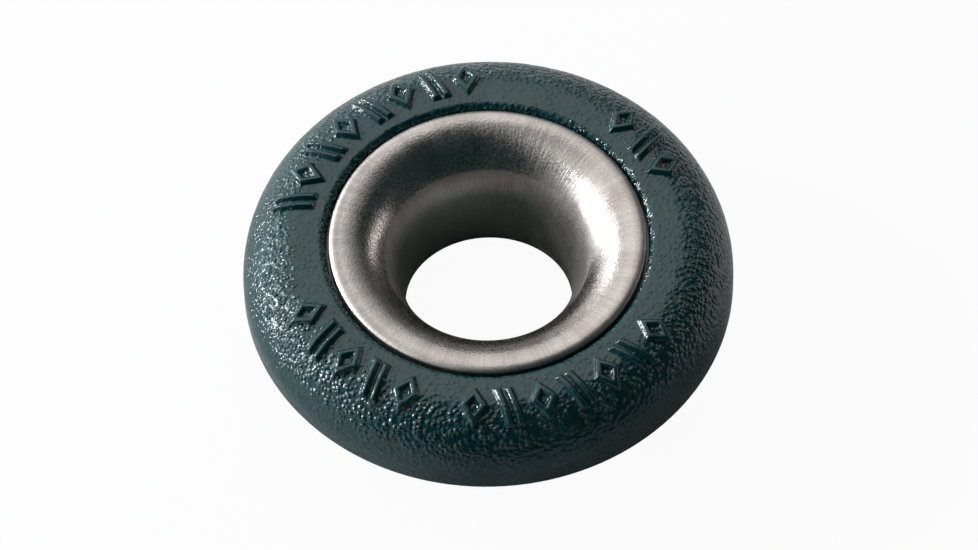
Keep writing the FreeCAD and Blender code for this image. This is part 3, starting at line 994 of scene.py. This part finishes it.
@dataclass(frozen=True)
class Studio:
    """Floor, tent, lamps, world and camera.

    Lengths are millimetres, and reaches are distances from the bore's axis. Gloss and
    glass show the floor white to the shares near and far, and lit elsewhere. The near
    share starts at the bore and grows behind the part, and the far share starts past
    the part, towards the left and the back. Where the floor is lit, gloss, glass and
    soft light see it in a darker colour than the camera does, a painted shade, and left
    of the painted light's edge in a lighter colour, a painted patch of light from the
    left.
    """

    floor_reach: float = 3000.0
    floor_colour: Colour = (0.80, 0.80, 0.80)
    floor_glow: float = 0.95
    # painted shade: the floor's colour for gloss and soft light, darker than the camera's
    painted_floor_shade: Colour = (0.30, 0.32, 0.32)
    # painted light: a lighter floor colour left of the edge, on the side of the lamps
    painted_light_colour: Colour = (0.62, 0.62, 0.62)
    painted_light_edge: float = -12.0
    painted_light_fade: float = 10.0
    bore_reach: float = 12.0
    bore_fade: float = 1.0
    near_share: float = 0.05
    behind_share: float = 0.47
    behind_skew: float = 0.3
    behind_start: float = 0.0
    behind_end: float = 20.0
    bounce_share: float = 0.80
    part_reach: float = 26.0
    open_reach: float = 60.0
    far_skew: float = 0.6
    far_start: float = -30.0
    far_end: float = 60.0
    focal_length: float = 236.8
    camera_distance: float = 500.0
    camera_elevation: float = 55.83
    camera_roll: float = -1.478
    camera_clip: float = 10.0
    aim_right: float = 0.05
    aim_up: float = 0.473
    tent: Tent = Tent()
    lamps: tuple[Lamp, ...] = (
        Lamp("soft_key", -66, 25, 420, 400, 290, 0.63, (0.95, 0.985, 1.0)),
        Lamp("hot_key", -74, 25, 400, 42, 42, 165.0, (0.92, 0.975, 1.0)),
        Lamp("low_key", -78, 6, 400, 40, 40, 118.0, (0.88, 0.96, 1.0)),
        Lamp("back_key", -44, 24, 400, 34, 34, 58.0, (0.90, 0.97, 1.0)),
        Lamp("low_card", 66, 9, 400, 200, 60, 2.1, (1.0, 0.95, 0.92)),
        Lamp("top_card", 8, 58, 600, 700, 220, 0.27, (1.0, 1.0, 1.0)),
    )

    def _shown(self, graph: Graph) -> tuple[Outlet, Outlet, Outlet]:
        """Gives 1 for what the camera sees, for what gloss or glass shows, and for soft light."""
        path = graph.add("ShaderNodeLightPath", {}, {})
        camera, gloss, glass, soft = (
            path.sibling("Is %s Ray" % name)
            for name in ("Camera", "Glossy", "Transmission", "Diffuse")
        )
        return camera, gloss + glass, soft

    def _floor_look(self) -> bpy.types.Material:
        """Makes the floor's look: white to the eye, shaded in gloss, and clear from below."""
        material, graph = new_graph("pale_floor")
        camera, mirrored, soft = self._shown(graph)
        x, y, _ = graph.parts(graph.place())
        reach = (x * x + y * y) ** 0.5
        behind = graph.rise(y + x * self.behind_skew, self.behind_start, self.behind_end)
        past_bore = graph.rise(reach, self.bore_reach - self.bore_fade, self.bore_reach)
        near = past_bore * (behind * self.behind_share + self.near_share)
        past_part = graph.rise(reach, self.part_reach, self.open_reach)
        far = past_part * graph.rise(y * self.far_skew - x, self.far_start, self.far_end)
        white = near + far * (1 - self.near_share)
        # card is the mask of the painted light on the floor's left; shade holds the floor's
        # painted shade and painted light as gloss and soft light see them
        card = graph.rise(x, self.painted_light_edge + self.painted_light_fade, self.painted_light_edge)
        shade = graph.blend(card, self.painted_floor_shade, self.painted_light_colour)
        colour = graph.blend(camera, shade, self.floor_colour)
        lit = graph.add("ShaderNodeBsdfDiffuse", {}, {"Color": colour})
        glow = graph.add("ShaderNodeEmission", {}, {"Color": WHITE, "Strength": 1.0})
        share = (camera + mirrored * white + soft * self.bounce_share) * self.floor_glow
        below = graph.add("ShaderNodeNewGeometry", {}, {}, "Backfacing")
        clear = graph.add("ShaderNodeBsdfTransparent", {}, {})
        shader = graph.mix(below, graph.mix(share, lit, glow), clear)
        graph.finish("ShaderNodeOutputMaterial", shader)
        return material

    def add_floor(self) -> None:
        """Lays the floor that the part stands on."""
        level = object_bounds()[0].z
        side = self.floor_reach * MM
        mesh = bpy.data.meshes.new("floor")
        corners = [(x * side, y * side, level) for x, y in ((-1, -1), (1, -1), (1, 1), (-1, 1))]
        mesh.from_pydata(corners, [], [(0, 1, 2, 3)])
        mesh.materials.append(self._floor_look())
        floor = place_object("floor", mesh)
        floor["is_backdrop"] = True

    def add_world(self) -> None:
        """Makes the world plain white."""
        world = bpy.data.worlds.new("studio")
        world.use_nodes = True
        bpy.context.scene.world = world
        graph = Graph(world.node_tree)
        shader = graph.add("ShaderNodeBackground", {}, {"Color": WHITE, "Strength": 1.0})
        graph.finish("ShaderNodeOutputWorld", shader)

    def add_camera(self) -> None:
        """Puts the camera where the photograph was taken from."""
        up = math.radians(self.camera_elevation)
        ahead = Vector((0, math.cos(up), -math.sin(up)))
        right = Vector((1, 0, 0))
        above = right.cross(ahead)
        aim = right * self.aim_right + above * self.aim_up
        data = bpy.data.cameras.new("camera")
        data.lens = self.focal_length
        data.clip_start = self.camera_clip * MM
        camera = place_object("camera", data)
        spot = Matrix.Translation((aim - ahead * self.camera_distance) * MM)
        facing = Matrix((right, above, -ahead)).transposed().to_4x4()
        roll = Matrix.Rotation(math.radians(self.camera_roll), 4, "Z")
        camera.matrix_world = spot @ facing @ roll
        bpy.context.scene.camera = camera

    def build(self) -> None:
        """Sets the whole studio up."""
        self.add_floor()
        self.add_world()
        for part in (self.tent, *self.lamps):
            part.build()
        self.add_camera()
        bpy.context.scene.view_settings.view_transform = "Standard"


def main() -> None:
    """Builds the pieces and the studio, and reports each piece."""
    logging.basicConfig(level=logging.INFO, format="%(name)s: %(message)s")
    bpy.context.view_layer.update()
    for maker in (NylonBush(), SteelLiner()):
        piece = maker.build()
        piece.data.calc_loop_triangles()
        LOG.info("%s: %d triangles", piece.name, len(piece.data.loop_triangles))
    Studio().build()


if __name__ == "__main__":
    main()
